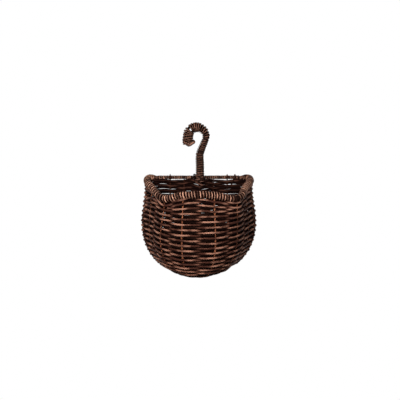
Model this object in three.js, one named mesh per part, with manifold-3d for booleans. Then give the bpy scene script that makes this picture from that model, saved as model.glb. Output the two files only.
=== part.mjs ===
// A hanging wall basket woven from round strands: a bowl with a flat back, a bound rim and a bound hook.
import * as THREE from "three";
import { mergeVertices } from "three/addons/utils/BufferGeometryUtils.js";
import Module from "manifold-3d";

// Driving dimensions in millimetres: X to the right, Y into the wall, Z up from the bottom of the bowl.
// Places round the basket are at the middle of the uprights, and of the rods of the rim.
const BELLY_HALF_WIDTH = 113;
const BELLY_DEPTH = 140;
const BELLY_HEIGHT = 96;
const BOTTOM_DEPTH = 70;
const BOTTOM_X = -6;
const BACK_INSET = 2;
const RIM_HALF_WIDTH = 109;
const RIM_DEPTH = 133;
const RAIL_HEIGHT = 190;
const RAIL_HALF_LENGTH = 82;
const CORNER_STANDOFF = 3.5;
const BACK_CORNER_DROP = 4;
const SIDE_DROP = 10;
const CORNER_DROP = 21;
const FRONT_DROP = 9;

// The uprights and the strands woven round them
const UPRIGHT_DIAMETER = 3.5;
const WEAVER_DIAMETER = 3.8;
const WEAVE_CLEARANCE = 0.5;
const ROW_PITCH = 5.4;
const WEAVER_COUNT = 8;
const WEAVER_END_GAP = 1.5;
const LEVEL_HEIGHT = 25;
const BACK_GAP = 5;
const STRAIGHT_ENOUGH = 1;
const ROW_SLICES = 400;
const BOWL_STEPS = 10;
const WALL_STEPS = 5;

// The base panel, a shallow dish inside the first row
const BASE_SHARE = 0.48;
const BASE_THICKNESS = 5;
const BASE_RINGS = [0.35, 0.7, 1];

// The rim hoop and the back rail, with the strips that bind them
const HOOP_DIAMETER = 8.6;
const HOOP_TAPER_LENGTH = 15;
const HOOP_STEPS = 80;
const RAIL_DIAMETER = 3.2;
const RAIL_END_GAP = 0.8;
const RIM_STRIP_WIDTH = 4.6;
const RIM_STRIP_THICKNESS = 1.5;
const RIM_BINDING_COUNT = 3;
const RIM_LOOPS = 24;
const RAIL_STRIP_WIDTH = 3.2;
const RAIL_STRIP_THICKNESS = 0.9;
const RAIL_LOOPS = 15;
const RIM_LOOP_STEPS = 6;
const BINDING_GAP = 1;
const WALL_FLAT_DEPTH = 0.5;

// The hook, bent in the plane of the wall, and its strips
const HOOK_X = 2.5;
const HOOK_ROD_DIAMETER = 10;
const SPINE_DIAMETER = 4.4;
const STEM_HEIGHT = 50;
const BEND_HEIGHT = 86;
const BEND_X = -5.5;
const BEND_RADIUS = 20;
const BEND_SWEEP = 218;
const BEND_STEPS = 8;
const HOOK_STRIP_WIDTH = 3.6;
const HOOK_STRIP_THICKNESS = 2;
const STEM_LOOPS = 12;
const BEND_LOOPS = 21;
const HOOK_LOOP_STEPS = 8;
const HOOK_STEPS = 28;
const STEM_BINDING_DROP = 4;

// The strand round the hook's tip and the lashings where the hook crosses the rail
const TAIL_DIAMETER = 2.6;
const TAIL_LEG = 5;
const TAIL_BULGE = 4.5;
const TAIL_STEPS = 8;
const LASHING_DIAMETER = 2.2;
const LASHING_TURNS = 2;
const LASHING_TILT = 35;
const LASHING_RISE = 2;
const LASHING_SLACK = 3.8;
const LASHING_LOOP_STEPS = 12;

const CLEARANCE = 0.3;
const STRAND_SIDES = 5;
const ROD_SIDES = 8;
const CURVE_SLICES = 600;

// Half of the uprights, from the middle of the front to the middle of the back. Places are shares of the
// half width and of the depth, at the belly and at the rim; a fullness under 1 squares the bowl's curve.
const FRONT_UPRIGHT_DROP = FRONT_DROP + 0.2 * (CORNER_DROP - FRONT_DROP);
const HALF_UPRIGHTS = [
  { name: "front", belly: [0.285, 0.985], rim: [0.28, 0.97], drop: FRONT_UPRIGHT_DROP, fullness: 0.75 },
  { name: "front_corner", belly: [0.705, 0.695], rim: [0.665, 0.85], drop: CORNER_DROP, fullness: 0.73 },
  { name: "side", belly: [0.875, 0.315], rim: [0.86, 0.45], drop: SIDE_DROP, fullness: 0.7 },
  { name: "back_corner", belly: [1, 0.07], rim: [0.99, 0.12], drop: BACK_CORNER_DROP, fullness: 0.68 },
  { name: "back_outer", belly: [0.527, 0], rim: [0.54, 0], drop: 0, fullness: 0.6 },
  { name: "back_inner", belly: [0.268, 0], rim: [0.275, 0], drop: 0, fullness: 0.6 },
];

const DARK_STRAND = new THREE.MeshStandardMaterial({ color: 0x3b261f, roughness: 0.5, metalness: 0 });
const UPRIGHT_STRAND = new THREE.MeshStandardMaterial({ color: 0x5a3826, roughness: 0.6, metalness: 0 });
const BINDING_STRIP = new THREE.MeshStandardMaterial({ color: 0x4c3126, roughness: 0.45, metalness: 0 });
const CORE_ROD = new THREE.MeshStandardMaterial({ color: 0x2e1d17, roughness: 0.65, metalness: 0 });

const vector = (x, y, z) => new THREE.Vector3(x, y, z);
const smoothstep = THREE.MathUtils.smoothstep;
const lerp = THREE.MathUtils.lerp;

// The outer radius of a strip wound round a rod in flat steps
function boundRadius(rodRadius, thickness, steps) {
  return innerRadius(rodRadius, steps) + thickness;
}

function innerRadius(rodRadius, steps) {
  return (rodRadius + CLEARANCE) / Math.cos(Math.PI / steps);
}

const HOOP_BOUND_RADIUS = boundRadius(HOOP_DIAMETER / 2, RIM_STRIP_THICKNESS, RIM_LOOP_STEPS);
const RAIL_BOUND_RADIUS = boundRadius(RAIL_DIAMETER / 2, RAIL_STRIP_THICKNESS, RIM_LOOP_STEPS);
const HOOK_BOUND_RADIUS = boundRadius(HOOK_ROD_DIAMETER / 2, HOOK_STRIP_THICKNESS, HOOK_LOOP_STEPS);
const HOOK_Y = -(RAIL_BOUND_RADIUS + HOOK_BOUND_RADIUS + CLEARANCE);

// A closed solid through rings of points that run anticlockwise about the way ahead, capped at both ends
function loft(rings) {
  const sides = rings[0].length;
  const positions = rings.flat().flatMap((point) => point.toArray());
  const index = [];
  for (let ring = 0; ring + 1 < rings.length; ring++) {
    for (let side = 0; side < sides; side++) {
      const next = (side + 1) % sides;
      const here = ring * sides;
      const ahead = here + sides;
      index.push(here + side, here + next, ahead + next);
      index.push(here + side, ahead + next, ahead + side);
    }
  }
  const last = (rings.length - 1) * sides;
  for (let side = 1; side + 1 < sides; side++) {
    index.push(0, side + 1, side);
    index.push(last, last + side, last + side + 1);
  }
  const geometry = new THREE.BufferGeometry();
  geometry.setAttribute("position", new THREE.Float32BufferAttribute(positions, 3));
  geometry.setIndex(index);
  return geometry;
}

// Rings of a round rod along points, each ring turned so that its first flat faces its guide direction
function rodRings(points, guides, radii, sides) {
  return points.map((point, i) => {
    const before = points[Math.max(i - 1, 0)];
    const after = points[Math.min(i + 1, points.length - 1)];
    const ahead = after.clone().sub(before).normalize();
    const out = guides[i].clone().addScaledVector(ahead, -guides[i].dot(ahead)).normalize();
    const across = ahead.clone().cross(out);
    return Array.from({ length: sides }, (_, side) => {
      const angle = ((side + 0.5) * 2 * Math.PI) / sides;
      const ring = point.clone().addScaledVector(out, radii[i] * Math.cos(angle));
      return ring.addScaledVector(across, radii[i] * Math.sin(angle));
    });
  });
}

function rod(points, guide, radius, sides) {
  const guides = points.map(() => guide);
  const radii = points.map((_, i) => (typeof radius === "function" ? radius(i) : radius));
  return loft(rodRings(points, guides, radii, sides));
}

// A flat strip wound round a curve, from one share of its length to another. Its edges follow the curve, so
// that the turns close up inside a bend and fan out round the outside.
function windStrip(name, { curve, from, to, loops, steps, radiusAt, width, thickness, guide }) {
  const count = loops * steps;
  const halfWidth = width / 2 / curve.getLength();
  const corner = (share, angle, lift) => {
    const along = curve.getTangentAt(share);
    const up = guide.clone().addScaledVector(along, -guide.dot(along)).normalize();
    const side = along.clone().cross(up);
    const out = up.multiplyScalar(Math.cos(angle)).addScaledVector(side, Math.sin(angle));
    return curve.getPointAt(share).addScaledVector(out, innerRadius(radiusAt(share), steps) + lift);
  };
  const rings = Array.from({ length: count + 1 }, (_, k) => {
    const share = lerp(from, to, k / count);
    const angle = (2 * Math.PI * k) / steps;
    const front = share + halfWidth;
    const back = share - halfWidth;
    return [
      corner(front, angle, 0),
      corner(front, angle, thickness),
      corner(back, angle, thickness),
      corner(back, angle, 0),
    ];
  });
  let gap = Infinity;
  for (let k = 0; k + steps <= count; k++) {
    gap = Math.min(gap, rings[k][0].distanceTo(rings[k + steps][3]));
    gap = Math.min(gap, rings[k][1].distanceTo(rings[k + steps][2]));
  }
  console.log(`${name}: least gap to itself ${gap.toFixed(2)} mm`);
  return loft(rings);
}

// The uprights in order round the basket, anticlockwise from above, from the hook's spine
function allUprights() {
  const side = (half, sign, word) => ({
    ...half,
    name: `upright_${half.name}_${word}`,
    belly: [sign * half.belly[0] * BELLY_HALF_WIDTH, -Math.max(half.belly[1] * BELLY_DEPTH, BACK_INSET)],
    rim: [sign * half.rim[0] * RIM_HALF_WIDTH, -half.rim[1] * RIM_DEPTH],
    boundRadius: half.drop > 0 ? HOOP_BOUND_RADIUS : RAIL_BOUND_RADIUS,
    lowered: half.drop > 0 ? 0 : BACK_GAP,
  });
  const spine = {
    name: "spine",
    belly: [HOOK_X, -BACK_INSET],
    rim: [HOOK_X, HOOK_Y],
    drop: 0,
    fullness: 0.6,
    boundRadius: RAIL_BOUND_RADIUS,
    lowered: BACK_GAP,
  };
  const left = HALF_UPRIGHTS.map((half) => side(half, -1, "left")).reverse();
  const right = HALF_UPRIGHTS.map((half) => side(half, 1, "right"));
  return [spine, ...left, ...right];
}

const POLE = vector(BOTTOM_X, -BOTTOM_DEPTH, 0);
const UPRIGHTS = allUprights();
const ROW_TOP = RAIL_HEIGHT - RAIL_BOUND_RADIUS - CLEARANCE - WEAVER_DIAMETER / 2 - BACK_GAP;

// The highest that a row may lie on an upright, and the end of the upright under the rim
function rowTop(upright) {
  return uprightTop(upright) - WEAVER_DIAMETER / 2 - upright.lowered;
}

function uprightTop(upright) {
  return RAIL_HEIGHT - upright.drop - upright.boundRadius - 2 * CLEARANCE;
}

// A point of an upright at a level, which is the height of its row on the back wall
function uprightPoint(upright, level) {
  const turn = Math.acos(Math.max(1 - level / BELLY_HEIGHT, 0));
  const spread = Math.pow(Math.sin(turn), upright.fullness);
  const lean = smoothstep(level, BELLY_HEIGHT, ROW_TOP);
  const x = lerp(lerp(POLE.x, upright.belly[0], spread), upright.rim[0], lean);
  const y = lerp(lerp(POLE.y, upright.belly[1], spread), upright.rim[1], lean);
  const squeeze = (rowTop(upright) - LEVEL_HEIGHT) / (ROW_TOP - LEVEL_HEIGHT);
  const z = level < LEVEL_HEIGHT ? level : LEVEL_HEIGHT + (level - LEVEL_HEIGHT) * squeeze;
  return vector(x, y, z);
}

function uprightRadius(upright, level) {
  if (upright.name !== "spine") {
    return UPRIGHT_DIAMETER / 2;
  }
  return lerp(SPINE_DIAMETER, HOOK_ROD_DIAMETER, smoothstep(level, BELLY_HEIGHT, ROW_TOP)) / 2;
}

// The levels of the rows, even steps along the curve from the base's edge up the back wall
const BASE_LEVEL = BELLY_HEIGHT * (1 - Math.sqrt(1 - BASE_SHARE * BASE_SHARE));

function rowLevels() {
  const lengths = [0];
  const levels = [BASE_LEVEL];
  const front = BELLY_DEPTH - BOTTOM_DEPTH;
  for (let slice = 1; slice <= ROW_SLICES; slice++) {
    const level = lerp(BASE_LEVEL, ROW_TOP, slice / ROW_SLICES);
    const rise = level - levels[slice - 1];
    const low = 1 - Math.min(levels[slice - 1] / BELLY_HEIGHT, 1);
    const high = 1 - Math.min(level / BELLY_HEIGHT, 1);
    const run = front * (Math.sqrt(1 - high * high) - Math.sqrt(1 - low * low));
    lengths.push(lengths[slice - 1] + Math.hypot(rise, run));
    levels.push(level);
  }
  return { lengths, levels };
}

const ROWS = rowLevels();
const FIRST_ROW = ROW_PITCH / 2;
const ROW_LENGTH = ROWS.lengths.at(-1) - FIRST_ROW;
const ROUNDS = Math.round(ROW_LENGTH / ROW_PITCH);

function levelAtRound(round) {
  const length = FIRST_ROW + (ROW_LENGTH * round) / ROUNDS;
  const above = Math.max(ROWS.lengths.findIndex((value) => value >= length), 1);
  const before = ROWS.lengths[above - 1];
  const share = (length - before) / (ROWS.lengths[above] - before);
  return lerp(ROWS.levels[above - 1], ROWS.levels[above], Math.min(share, 1));
}

const uprightAt = (count) => UPRIGHTS[(count + UPRIGHTS.length) % UPRIGHTS.length];

// The middle of the wall between an upright and the next, on the curve through four of them
function wallMiddle(count, level) {
  const near = [-1, 0, 1, 2].map((step) => uprightPoint(uprightAt(count + step), level));
  return near[1].add(near[2]).multiplyScalar(9).sub(near[0]).sub(near[3]).divideScalar(16);
}

// Where a strand passes an upright, outside it and inside it by turns. On a slant, and round the outside of
// a corner, its middle stands further off, so that the strand clears the upright.
function crossing(count) {
  const level = levelAtRound(count / UPRIGHTS.length);
  const upright = uprightAt(count);
  const here = uprightPoint(upright, level);
  const ahead = wallMiddle(count, level).sub(here);
  const behind = here.clone().sub(wallMiddle(count - 1, level));
  const climb = uprightPoint(upright, level + 1).sub(uprightPoint(upright, level - 1));
  const out = ahead.clone().add(behind).cross(climb).normalize();
  const side = count % 2 === 0 ? 1 : -1;
  const halfTurn = (ahead.angleTo(behind) / 2) * Math.sign(behind.clone().sub(ahead).dot(out));
  const beside = uprightRadius(upright, level) + WEAVER_DIAMETER / 2;
  const slant = Math.atan(beside / Math.min(ahead.length(), behind.length()));
  const offset = beside / Math.cos(slant + side * halfTurn) + WEAVE_CLEARANCE;
  return { point: here.addScaledVector(out, side * offset), out };
}

// The middle of a strand's run between two uprights, needed only where the wall bends there
function between(count) {
  const level = levelAtRound((count + 0.5) / UPRIGHTS.length);
  const point = wallMiddle(count, level);
  const chord = uprightPoint(uprightAt(count), level).add(uprightPoint(uprightAt(count + 1), level));
  const bends = point.distanceTo(chord.divideScalar(2)) > STRAIGHT_ENOUGH;
  const out = crossing(count).out.add(crossing(count + 1).out).normalize();
  return { point, out, bends };
}

// One length of strand: it weaves in and out of the uprights, climbing a row in each round. Lengths meet at
// the spine, where the joins are out of sight.
function weaver(number) {
  const first = UPRIGHTS.length * Math.round((ROUNDS * number) / WEAVER_COUNT);
  const last = UPRIGHTS.length * Math.round((ROUNDS * (number + 1)) / WEAVER_COUNT);
  const stops = [];
  for (let count = first; count <= last; count++) {
    stops.push(crossing(count));
    const middle = between(count);
    if (count < last && middle.bends) {
      stops.push(middle);
    }
  }
  const points = stops.map((stop) => stop.point);
  shorten(points[0], points[1]);
  shorten(points.at(-1), points.at(-2));
  const radii = points.map(() => WEAVER_DIAMETER / 2);
  return loft(rodRings(points, stops.map((stop) => stop.out), radii, STRAND_SIDES));
}

function shorten(end, next) {
  end.addScaledVector(next.clone().sub(end).normalize(), WEAVER_END_GAP);
}

// The levels of an upright's rings: even turns round the bowl, then even steps up the wall
function uprightLevels() {
  const start = Math.acos(1 - BASE_LEVEL / BELLY_HEIGHT);
  const levels = [];
  for (let step = 0; step <= BOWL_STEPS; step++) {
    levels.push(BELLY_HEIGHT * (1 - Math.cos(lerp(start, Math.PI / 2, step / BOWL_STEPS))));
  }
  for (let step = 1; step <= WALL_STEPS; step++) {
    levels.push(lerp(BELLY_HEIGHT, ROW_TOP, step / WALL_STEPS));
  }
  return levels;
}

// An upright from the edge of the base to the underside of the rim
function uprightRod(upright) {
  const points = uprightLevels().map((level) => uprightPoint(upright, level));
  const top = points.at(-1).clone().setZ(uprightTop(upright));
  const guide = points[0].clone().sub(POLE).setZ(0).normalize();
  return rod([...points, top], guide, UPRIGHT_DIAMETER / 2, STRAND_SIDES);
}

// The base panel: a shallow dish whose edge stays clear of the uprights' ends
function basePanel() {
  const ends = UPRIGHTS.map((upright) => uprightPoint(upright, BASE_LEVEL));
  const edge = ends.map((end, i) => {
    const flat = end.clone().sub(POLE).setZ(0);
    const endReach = uprightRadius(UPRIGHTS[i], BASE_LEVEL) * Math.SQRT1_2;
    return flat.setLength(flat.length() - endReach - 2 * CLEARANCE);
  });
  const height = (share) => BASE_LEVEL * share * share;
  const ring = (share, lift) => edge.map((spot) => {
    return POLE.clone().addScaledVector(spot, share).setZ(height(share) + lift);
  });
  const half = BASE_THICKNESS / 2;
  const under = BASE_RINGS.map((share) => ring(share, -half));
  const over = BASE_RINGS.map((share) => ring(share, half)).reverse();
  return loft([...under, ...over]);
}

// The rim hoop: one tapered rod from the left end of the rail, round the front, to the right end
function rimCurve() {
  const [front, frontCorner, side, backCorner] = HALF_UPRIGHTS.map((half) => {
    return vector(half.rim[0] * RIM_HALF_WIDTH, -half.rim[1] * RIM_DEPTH, RAIL_HEIGHT - half.drop);
  });
  const railEnd = vector(RAIL_HALF_LENGTH, 0, RAIL_HEIGHT);
  const turnX = lerp(RAIL_HALF_LENGTH, RIM_HALF_WIDTH, 0.5);
  const turn = vector(turnX, CORNER_STANDOFF, RAIL_HEIGHT - BACK_CORNER_DROP / 4);
  const half = [railEnd, turn, backCorner, side, frontCorner, front];
  const mirrored = half.map((point) => point.clone().setX(-point.x));
  const middle = vector(0, -RIM_DEPTH, RAIL_HEIGHT - FRONT_DROP);
  const curve = new THREE.CatmullRomCurve3([...mirrored, middle, ...half.reverse()]);
  curve.arcLengthDivisions = CURVE_SLICES;
  return curve;
}

const UP = vector(0, 0, 1);
const RIM_CURVE = rimCurve();
const RIM_LENGTH = RIM_CURVE.getLength();

function hoopRadius(share) {
  const fromEnd = Math.min(share, 1 - share) * RIM_LENGTH;
  return lerp(RAIL_DIAMETER, HOOP_DIAMETER, smoothstep(fromEnd, 0, HOOP_TAPER_LENGTH)) / 2;
}

function rimHoop() {
  const shares = Array.from({ length: HOOP_STEPS + 1 }, (_, i) => i / HOOP_STEPS);
  const points = shares.map((share) => RIM_CURVE.getPointAt(share));
  return rod(points, UP, (i) => hoopRadius(shares[i]), ROD_SIDES);
}

// The rim's binding in three lengths, which leave a small gap where one ends and the next starts
function rimBinding(name, number) {
  const inset = (BINDING_GAP / 2 + RIM_STRIP_WIDTH / 2) / RIM_LENGTH;
  return windStrip(name, {
    curve: RIM_CURVE,
    from: number / RIM_BINDING_COUNT + inset,
    to: (number + 1) / RIM_BINDING_COUNT - inset,
    loops: RIM_LOOPS,
    steps: RIM_LOOP_STEPS,
    radiusAt: hoopRadius,
    width: RIM_STRIP_WIDTH,
    thickness: RIM_STRIP_THICKNESS,
    guide: UP,
  });
}

// The back rail between the two ends of the hoop, and its binding on each side of the hook
const RAIL_INNER_END = HOOK_BOUND_RADIUS + LASHING_DIAMETER;

function backRail() {
  const reach = RAIL_HALF_LENGTH - RAIL_END_GAP;
  const ends = [vector(-reach, 0, RAIL_HEIGHT), vector(reach, 0, RAIL_HEIGHT)];
  return rod(ends, UP, RAIL_DIAMETER / 2, ROD_SIDES);
}

function railBinding(name, sign) {
  const start = HOOK_X + sign * RAIL_INNER_END;
  const end = sign * (RAIL_HALF_LENGTH - RAIL_END_GAP);
  const curve = new THREE.LineCurve3(vector(start, 0, RAIL_HEIGHT), vector(end, 0, RAIL_HEIGHT));
  const inset = RAIL_STRIP_WIDTH / 2 / curve.getLength();
  return windStrip(name, {
    curve,
    from: inset,
    to: 1 - inset,
    loops: RAIL_LOOPS,
    steps: RIM_LOOP_STEPS,
    radiusAt: () => RAIL_DIAMETER / 2,
    width: RAIL_STRIP_WIDTH,
    thickness: RAIL_STRIP_THICKNESS,
    guide: UP,
  });
}

// The hook: a straight stem, a lean to the right and a round bend, ending in a tip on the left
function bendPoint(degrees) {
  const angle = THREE.MathUtils.degToRad(degrees);
  const x = BEND_X + BEND_RADIUS * Math.cos(angle);
  return vector(x, HOOK_Y, RAIL_HEIGHT + BEND_HEIGHT + BEND_RADIUS * Math.sin(angle));
}

function hookCurve() {
  const stem = [-STEM_BINDING_DROP, STEM_HEIGHT / 2, STEM_HEIGHT].map((rise) => {
    return vector(HOOK_X, HOOK_Y, RAIL_HEIGHT + rise);
  });
  const bend = Array.from({ length: BEND_STEPS + 1 }, (_, i) => bendPoint((BEND_SWEEP * i) / BEND_STEPS));
  const curve = new THREE.CatmullRomCurve3([...stem, ...bend]);
  curve.arcLengthDivisions = CURVE_SLICES;
  return curve;
}

const HOOK_CURVE = hookCurve();
const HOOK_LENGTH = HOOK_CURVE.getLength();
const INTO_WALL = vector(0, 1, 0);

// The rod of the hook runs on below the rail as the spine of the back wall
function hookRod() {
  const spineLevels = uprightLevels();
  const spine = spineLevels.map((level) => uprightPoint(UPRIGHTS[0], level));
  const hook = Array.from({ length: HOOK_STEPS + 1 }, (_, i) => HOOK_CURVE.getPointAt(i / HOOK_STEPS));
  const points = [...spine, ...hook];
  const radiusAt = (i) => {
    return i < spine.length ? uprightRadius(UPRIGHTS[0], spineLevels[i]) : HOOK_ROD_DIAMETER / 2;
  };
  return rod(points, INTO_WALL, radiusAt, ROD_SIDES);
}

function hookBinding(name, from, to, loops) {
  const inset = (BINDING_GAP / 2 + HOOK_STRIP_WIDTH / 2) / HOOK_LENGTH;
  return windStrip(name, {
    curve: HOOK_CURVE,
    from: from + inset,
    to: to - inset,
    loops,
    steps: HOOK_LOOP_STEPS,
    radiusAt: () => HOOK_ROD_DIAMETER / 2,
    width: HOOK_STRIP_WIDTH,
    thickness: HOOK_STRIP_THICKNESS,
    guide: INTO_WALL,
  });
}

// The end of the strip, turned round the tip of the hook in a loose loop
function hookTail() {
  const tip = HOOK_CURVE.getPointAt(1);
  const ahead = HOOK_CURVE.getTangentAt(1);
  const across = ahead.clone().cross(INTO_WALL);
  const reach = HOOK_BOUND_RADIUS + CLEARANCE + TAIL_DIAMETER / 2;
  const spot = (side, forward) => {
    return tip.clone().addScaledVector(across, side * reach).addScaledVector(ahead, forward);
  };
  const loop = Array.from({ length: TAIL_STEPS + 1 }, (_, i) => {
    const angle = (Math.PI * i) / TAIL_STEPS;
    return spot(Math.cos(angle), TAIL_BULGE * Math.sin(angle));
  });
  return rod([spot(1, -TAIL_LEG), ...loop, spot(-1, -TAIL_LEG)], INTO_WALL, TAIL_DIAMETER / 2, STRAND_SIDES);
}

// A lashing round the stem and the rail where they cross, on a slant; a second one lies over the first
function lashing(name, sign, layer) {
  const lift = layer * (LASHING_DIAMETER + WEAVE_CLEARANCE);
  const tilt = THREE.MathUtils.degToRad(LASHING_TILT);
  const slant = vector(sign * Math.cos(tilt), 0, Math.sin(tilt));
  const ahead = slant.clone().cross(INTO_WALL);
  const front = HOOK_Y - HOOK_BOUND_RADIUS;
  const middle = vector(HOOK_X, (front + RAIL_BOUND_RADIUS) / 2, RAIL_HEIGHT + LASHING_RISE);
  const chord = 1 / Math.cos(Math.PI / LASHING_LOOP_STEPS);
  const deep = chord * ((RAIL_BOUND_RADIUS - front) / 2 + CLEARANCE + LASHING_DIAMETER / 2 + lift);
  const wide = chord * (HOOK_BOUND_RADIUS / Math.cos(tilt) + LASHING_SLACK + lift);
  const pitch = LASHING_DIAMETER + WEAVE_CLEARANCE;
  const count = LASHING_TURNS * LASHING_LOOP_STEPS;
  const points = [];
  for (let k = 0; k <= count; k++) {
    const angle = Math.PI / 2 + (2 * Math.PI * k) / LASHING_LOOP_STEPS;
    const point = middle.clone().addScaledVector(slant, wide * Math.cos(angle));
    point.addScaledVector(INTO_WALL, deep * Math.sin(angle));
    points.push(point.addScaledVector(ahead, pitch * (k / LASHING_LOOP_STEPS - LASHING_TURNS / 2)));
  }
  let gap = Infinity;
  for (let k = 0; k + LASHING_LOOP_STEPS <= count; k++) {
    gap = Math.min(gap, points[k].distanceTo(points[k + LASHING_LOOP_STEPS]) - LASHING_DIAMETER);
  }
  console.log(`${name}: least gap to itself ${gap.toFixed(2)} mm`);
  return rod(points, ahead, LASHING_DIAMETER / 2, STRAND_SIDES);
}

// The back corners of the rim stand off to the back, so that they meet the wall before the lashings do, and
// they are pressed flat where they lie against it
const wasm = await Module();
wasm.setup();

function solid(geometry) {
  const vertProperties = new Float32Array(geometry.getAttribute("position").array);
  const triVerts = new Uint32Array(geometry.getIndex().array);
  return new wasm.Manifold(new wasm.Mesh({ numProp: 3, vertProperties, triVerts }));
}

function flattenAtWall(geometry) {
  const reach = 4 * RIM_HALF_WIDTH;
  const bound = HOOP_BOUND_RADIUS * Math.cos(Math.PI / RIM_LOOP_STEPS);
  const wallY = CORNER_STANDOFF + bound - WALL_FLAT_DEPTH;
  const wall = new THREE.BoxGeometry(reach, reach, reach);
  wall.translate(0, wallY + reach / 2, RAIL_HEIGHT);
  wall.deleteAttribute("normal");
  wall.deleteAttribute("uv");
  const mesh = solid(geometry).subtract(solid(mergeVertices(wall))).getMesh();
  const cut = new THREE.BufferGeometry();
  cut.setAttribute("position", new THREE.Float32BufferAttribute(mesh.vertProperties, 3));
  cut.setIndex(Array.from(mesh.triVerts));
  return cut;
}

// The assembly, moved so that its origin is the top of the hook's eye, where the peg that holds it lies
const woven = new THREE.Group();

function add(name, geometry, material) {
  const mesh = new THREE.Mesh(geometry, material);
  mesh.name = name;
  woven.add(mesh);
}

const STEM_SHARE = (STEM_BINDING_DROP + STEM_HEIGHT) / HOOK_LENGTH;
add("hook_rod", hookRod(), CORE_ROD);
add("hook_binding_stem", hookBinding("hook_binding_stem", 0, STEM_SHARE, STEM_LOOPS), BINDING_STRIP);
add("hook_binding_bend", hookBinding("hook_binding_bend", STEM_SHARE, 1, BEND_LOOPS), BINDING_STRIP);
add("hook_tail", hookTail(), BINDING_STRIP);
add("hook_lashing_inner", lashing("hook_lashing_inner", 1, 0), BINDING_STRIP);
add("hook_lashing_outer", lashing("hook_lashing_outer", -1, 1), BINDING_STRIP);
add("back_rail", backRail(), CORE_ROD);
add("back_binding_left", railBinding("back_binding_left", -1), BINDING_STRIP);
add("back_binding_right", railBinding("back_binding_right", 1), BINDING_STRIP);
add("rim_hoop", rimHoop(), CORE_ROD);
add("rim_binding_left", flattenAtWall(rimBinding("rim_binding_left", 0)), BINDING_STRIP);
add("rim_binding_front", rimBinding("rim_binding_front", 1), BINDING_STRIP);
add("rim_binding_right", flattenAtWall(rimBinding("rim_binding_right", 2)), BINDING_STRIP);
UPRIGHTS.slice(1).forEach((upright) => add(upright.name, uprightRod(upright), UPRIGHT_STRAND));
for (let number = 0; number < WEAVER_COUNT; number++) {
  add(`weaver_${number + 1}`, weaver(number), DARK_STRAND);
}
add("base_panel", basePanel(), DARK_STRAND);

const seat = bendPoint(90).sub(vector(0, 0, HOOK_BOUND_RADIUS));
woven.position.copy(seat).negate();

const basket = new THREE.Group();
basket.add(woven);

export default basket;
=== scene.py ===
import math
import random

import bpy
import numpy as np
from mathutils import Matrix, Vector


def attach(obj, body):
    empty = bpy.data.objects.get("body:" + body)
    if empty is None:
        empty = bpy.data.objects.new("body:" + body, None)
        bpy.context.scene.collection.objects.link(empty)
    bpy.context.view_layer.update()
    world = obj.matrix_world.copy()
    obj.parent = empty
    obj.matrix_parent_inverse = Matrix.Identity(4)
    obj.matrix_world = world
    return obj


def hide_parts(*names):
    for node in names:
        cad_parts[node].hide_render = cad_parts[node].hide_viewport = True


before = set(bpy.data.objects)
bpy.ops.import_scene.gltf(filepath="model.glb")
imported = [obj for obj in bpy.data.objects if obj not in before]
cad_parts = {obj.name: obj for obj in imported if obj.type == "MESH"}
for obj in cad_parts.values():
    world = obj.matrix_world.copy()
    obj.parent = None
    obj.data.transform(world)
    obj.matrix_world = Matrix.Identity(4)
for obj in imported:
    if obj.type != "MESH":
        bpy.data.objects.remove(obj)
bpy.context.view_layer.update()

# Driving dimensions in millimetres: X to the right, Y into the wall, Z up from the bottom of the bowl
BELLY_HALF_WIDTH = 115
BELLY_DEPTH = 140
BELLY_HEIGHT = 96
BOTTOM_X = -6
BOTTOM_DEPTH = 70
BACK_INSET = 2
RIM_HALF_WIDTH = 109
RIM_DEPTH = 133
RAIL_HEIGHT = 190
RAIL_HALF_LENGTH = 82
CORNER_STANDOFF = 3.5
BACK_CORNER_DROP = 4
SIDE_DROP = 10
CORNER_DROP = 21
FRONT_DROP = 9
FRONT_STAKE_SHARE = 0.2
FRONT_CORNER_SHIFT = 4
LEVEL_HEIGHT = 25
LEVEL_TOP = 140
BACK_GAP = 2.6
BASE_SHARE = 0.48
CLEARANCE = 0.3

# The stakes
STAKE_DIAMETER = 3
STAKE_WAVE = 0.8
STAKE_LAST_ROW = 0.8
SPINE_DIAMETER = 4.4
SPINE_TAPER = 12
RIM_ENTRY = (2, 5)
CURL_PRESS = 0.4
CURL_TURNS = range(-50, 231, 20)

# The strands woven round the stakes, with their ends and their steps up counted in stakes from the spine
STRAND_DIAMETER = 4.8
STRAND_COUNT = 8
STRAND_END_GAP = 0.02
LAST_STRAND_END = 0.3
STEP_PLACE = 3
STEP_LENGTH = 1.5
LOWER_ROWS = 27
UPPER_ROWS = 5
LOW_THICKENING = 0.12
RIM_OVERLAP = 2.5

# How far the upper rows arch up between a stake and the next one
BAY_ARCH = {
    "spine": 3.6,
    "back_outer_left": 3.8,
    "side_left": 2,
    "front_left": 4,
    "back_corner_right": 2.6,
    "back_inner_right": 3,
}

# Pairs of short strands in the high parts of the wall: first and last place, and the row to start from
PACKING_SIZE = 0.94
PACKING_TUCK = 3
TUCK_LENGTH = 0.5
PACKING = (
    ("front", 5.2, 7.8, LOWER_ROWS + 1),
    ("right", 8.3, 16.7, LOWER_ROWS + 1),
    ("left", 3.2, 4.7, LOWER_ROWS + 1),
    ("back", 9.4, 16.7, LOWER_ROWS + 3),
)
PACKING_PAIR = (("low", 1 / 3, 0), ("high", 2 / 3, 1))

# The base: a fine strand woven round the sticks that cross at the bottom of the bowl
BASE_TURNS = 8
BASE_START = 0.2
BASE_END = 0.6
BASE_STRAND_SIZE = 0.65

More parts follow.
